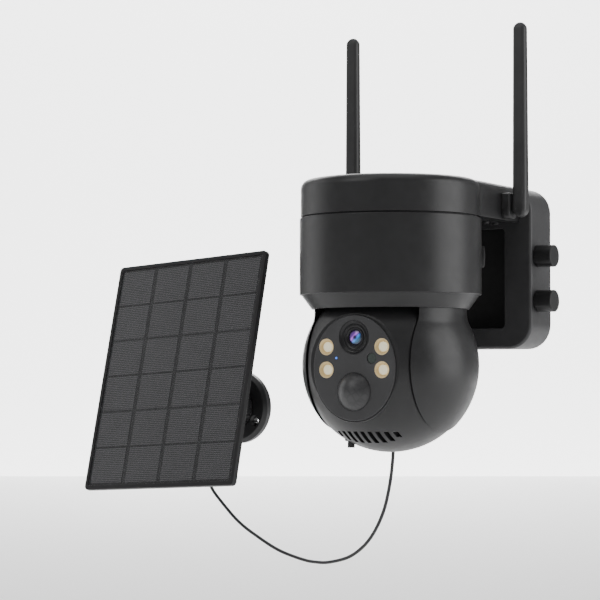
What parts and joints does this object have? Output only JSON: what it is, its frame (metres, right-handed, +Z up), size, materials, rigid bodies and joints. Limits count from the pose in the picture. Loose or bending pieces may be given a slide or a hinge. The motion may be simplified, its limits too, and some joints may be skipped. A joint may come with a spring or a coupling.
{
  "type": "solar-powered pan-tilt security camera",
  "caption": "Ball-shaped pan and tilt camera under a drum on a wall bracket, with folding antennas and a separate adjustable solar panel on a hanging lead.",
  "frame": {"origin": "centre of the camera wall plate's four screw holes, on the wall face of the plate", "axes": "+Z up, +Y into the wall, the camera looks along -Y, +X to the right of a person facing the wall"},
  "size_m": [0.2857, 0.1458, 0.3055],
  "materials": {
    "housing_plastic": "satin moulded ABS",
    "knob_plastic": "satin moulded",
    "face_plastic": "fine matt",
    "antenna_plastic": "satin",
    "seal_rubber": "soft matt",
    "plated_screws": "zinc plated",
    "plate_steel": "powder coated",
    "inner_plastic": "moulded",
    "gear_nylon": "natural nylon",
    "motor_can": "drawn can",
    "circuit_board": "solder mask",
    "cell_wrap": "shrink wrap",
    "cable_jacket": "smooth jacket",
    "lens_black": "matt anodised look",
    "lens_coating": "coated glass",
    "lamp_reflector": "cream reflector",
    "lamp_phosphor": "phosphor",
    "indicator_blue": "light pipe",
    "sensor_window": "smoked window",
    "pir_film": "faceted film",
    "bracket_plastic": "satin moulded",
    "panel_tray": "satin moulded",
    "panel_backing": "matt laminate",
    "silicon_cells": "fine gridded silicon",
    "cover_glass": "satin laminate"
  },
  "bodies": {
    "camera_and_wall_base": {"top_cover": "housing_plastic", "cover_gasket": "seal_rubber", "drum_shell": "housing_plastic", "arm_floor": "housing_plastic", "arm_screws": "plated_screws", "bracket_box": "housing_plastic", "bracket_screws": "plated_screws", "wall_plate": "plate_steel", "motor_deck": "inner_plastic", "pan_motor": "motor_can", "pan_washer": "gear_nylon", "main_board": "circuit_board", "battery_cradle": "inner_plastic", "battery_cells": "cell_wrap", "button_switch": "inner_plastic", "charge_socket": "seal_rubber", "charge_plug": "seal_rubber", "solar_cable": "cable_jacket", "antenna_mount_left": "antenna_plastic", "antenna_mount_right": "antenna_plastic", "antenna_pins": "plated_screws", "panel_base": "bracket_plastic", "cable_relief": "seal_rubber"},
    "clamp_knob_upper": {"clamp_knob_upper": "knob_plastic"},
    "clamp_knob_lower": {"clamp_knob_lower": "knob_plastic"},
    "pan_pinion": {"pan_pinion": "gear_nylon"},
    "power_button": {"power_button": "seal_rubber"},
    "antenna_left": {"antenna_left": "antenna_plastic"},
    "antenna_right": {"antenna_right": "antenna_plastic"},
    "yoke": {"yoke_shell": "housing_plastic", "pan_crown": "inner_plastic", "crown_screws": "plated_screws", "pan_gear": "gear_nylon", "cheek_plate_left": "housing_plastic", "cheek_plate_right": "housing_plastic", "tilt_gear": "gear_nylon"},
    "tilt_pinion": {"tilt_pinion": "gear_nylon"},
    "head": {"tilt_motor": "motor_can", "head_front_shell": "housing_plastic", "head_rear_shell": "housing_plastic", "face_plate": "face_plastic", "lens_barrel": "lens_black", "lens_glass": "lens_coating", "led_reflectors": "lamp_reflector", "led_emitters": "lamp_phosphor", "indicator_light": "indicator_blue", "light_sensor": "sensor_window", "pir_lens": "pir_film", "pir_sensor": "motor_can", "sensor_board": "circuit_board", "speaker": "inner_plastic"},
    "card_cover": {"card_cover": "seal_rubber"},
    "lock_collar": {"lock_collar": "bracket_plastic"},
    "swivel_liner": {"swivel_liner": "gear_nylon"},
    "panel": {"ball_stud": "bracket_plastic", "panel_boss": "bracket_plastic", "panel_frame": "panel_tray", "cell_backing": "panel_backing", "solar_cells": "silicon_cells", "panel_glass": "cover_glass"}
  },
  "joints": [
    {"name": "pan", "type": "hinge", "parent": "camera_and_wall_base", "child": "yoke", "pos_m": [0, -0.0965, -0.02], "axis": [0, 0, 1], "range_deg": [-175, 175]},
    {"name": "pan_pinion_spin", "type": "hinge", "parent": "camera_and_wall_base", "child": "pan_pinion", "pos_m": [0, -0.1265, -0.002], "axis": [0, 0, 1], "range_deg": [-705, 705]},
    {"name": "tilt", "type": "hinge", "parent": "yoke", "child": "head", "pos_m": [0, -0.0965, -0.0548], "axis": [1, 0, 0], "range_deg": [-15, 75]},
    {"name": "tilt_pinion_spin", "type": "hinge", "parent": "head", "child": "tilt_pinion", "pos_m": [0.0265, -0.0806, -0.0548], "axis": [1, 0, 0], "range_deg": [-50, 235]},
    {"name": "antenna_left_fold", "type": "hinge", "parent": "camera_and_wall_base", "child": "antenna_left", "pos_m": [-0.0535, -0.0455, 0.031], "axis": [1, 0, 0], "range_deg": [-20, 90]},
    {"name": "antenna_right_fold", "type": "hinge", "parent": "camera_and_wall_base", "child": "antenna_right", "pos_m": [0.0535, -0.0455, 0.031], "axis": [1, 0, 0], "range_deg": [-20, 90]},
    {"name": "clamp_upper_turn", "type": "hinge", "parent": "camera_and_wall_base", "child": "clamp_knob_upper", "pos_m": [0.055, -0.0172, 0.0065], "axis": [1, 0, 0], "range_deg": [-180, 180]},
    {"name": "clamp_lower_turn", "type": "hinge", "parent": "camera_and_wall_base", "child": "clamp_knob_lower", "pos_m": [0.055, -0.0172, -0.0187], "axis": [1, 0, 0], "range_deg": [-180, 180]},
    {"name": "power_press", "type": "slide", "parent": "camera_and_wall_base", "child": "power_button", "axis": [-0.848, -0.5299, 0], "range_m": [0, 0.001], "stiffness_N_per_m": 400},
    {"name": "card_cover_pull", "type": "slide", "parent": "head", "child": "card_cover", "axis": [0, 0, -1], "range_m": [0, 0.004]},
    {"name": "collar_turn", "type": "hinge", "parent": "camera_and_wall_base", "child": "lock_collar", "pos_m": [-0.1614, -0.015, -0.0799], "axis": [0, -1, 0], "range_deg": [0, 120]},
    {"name": "panel_swivel", "type": "hinge", "parent": "camera_and_wall_base", "child": "swivel_liner", "pos_m": [-0.1614, -0.015, -0.0799], "axis": [0, -1, 0], "range_deg": [-40, 40]},
    {"name": "panel_tilt", "type": "hinge", "parent": "swivel_liner", "child": "panel", "pos_m": [-0.1614, -0.015, -0.0799], "axis": [0.9077, 0, 0.4197], "range_deg": [-12, 45]}
  ],
  "couplings": [
    {"joint": "pan_pinion_spin", "follows": "pan", "ratio": -4},
    {"joint": "tilt_pinion_spin", "follows": "tilt", "ratio": 3.0769}
  ]
}
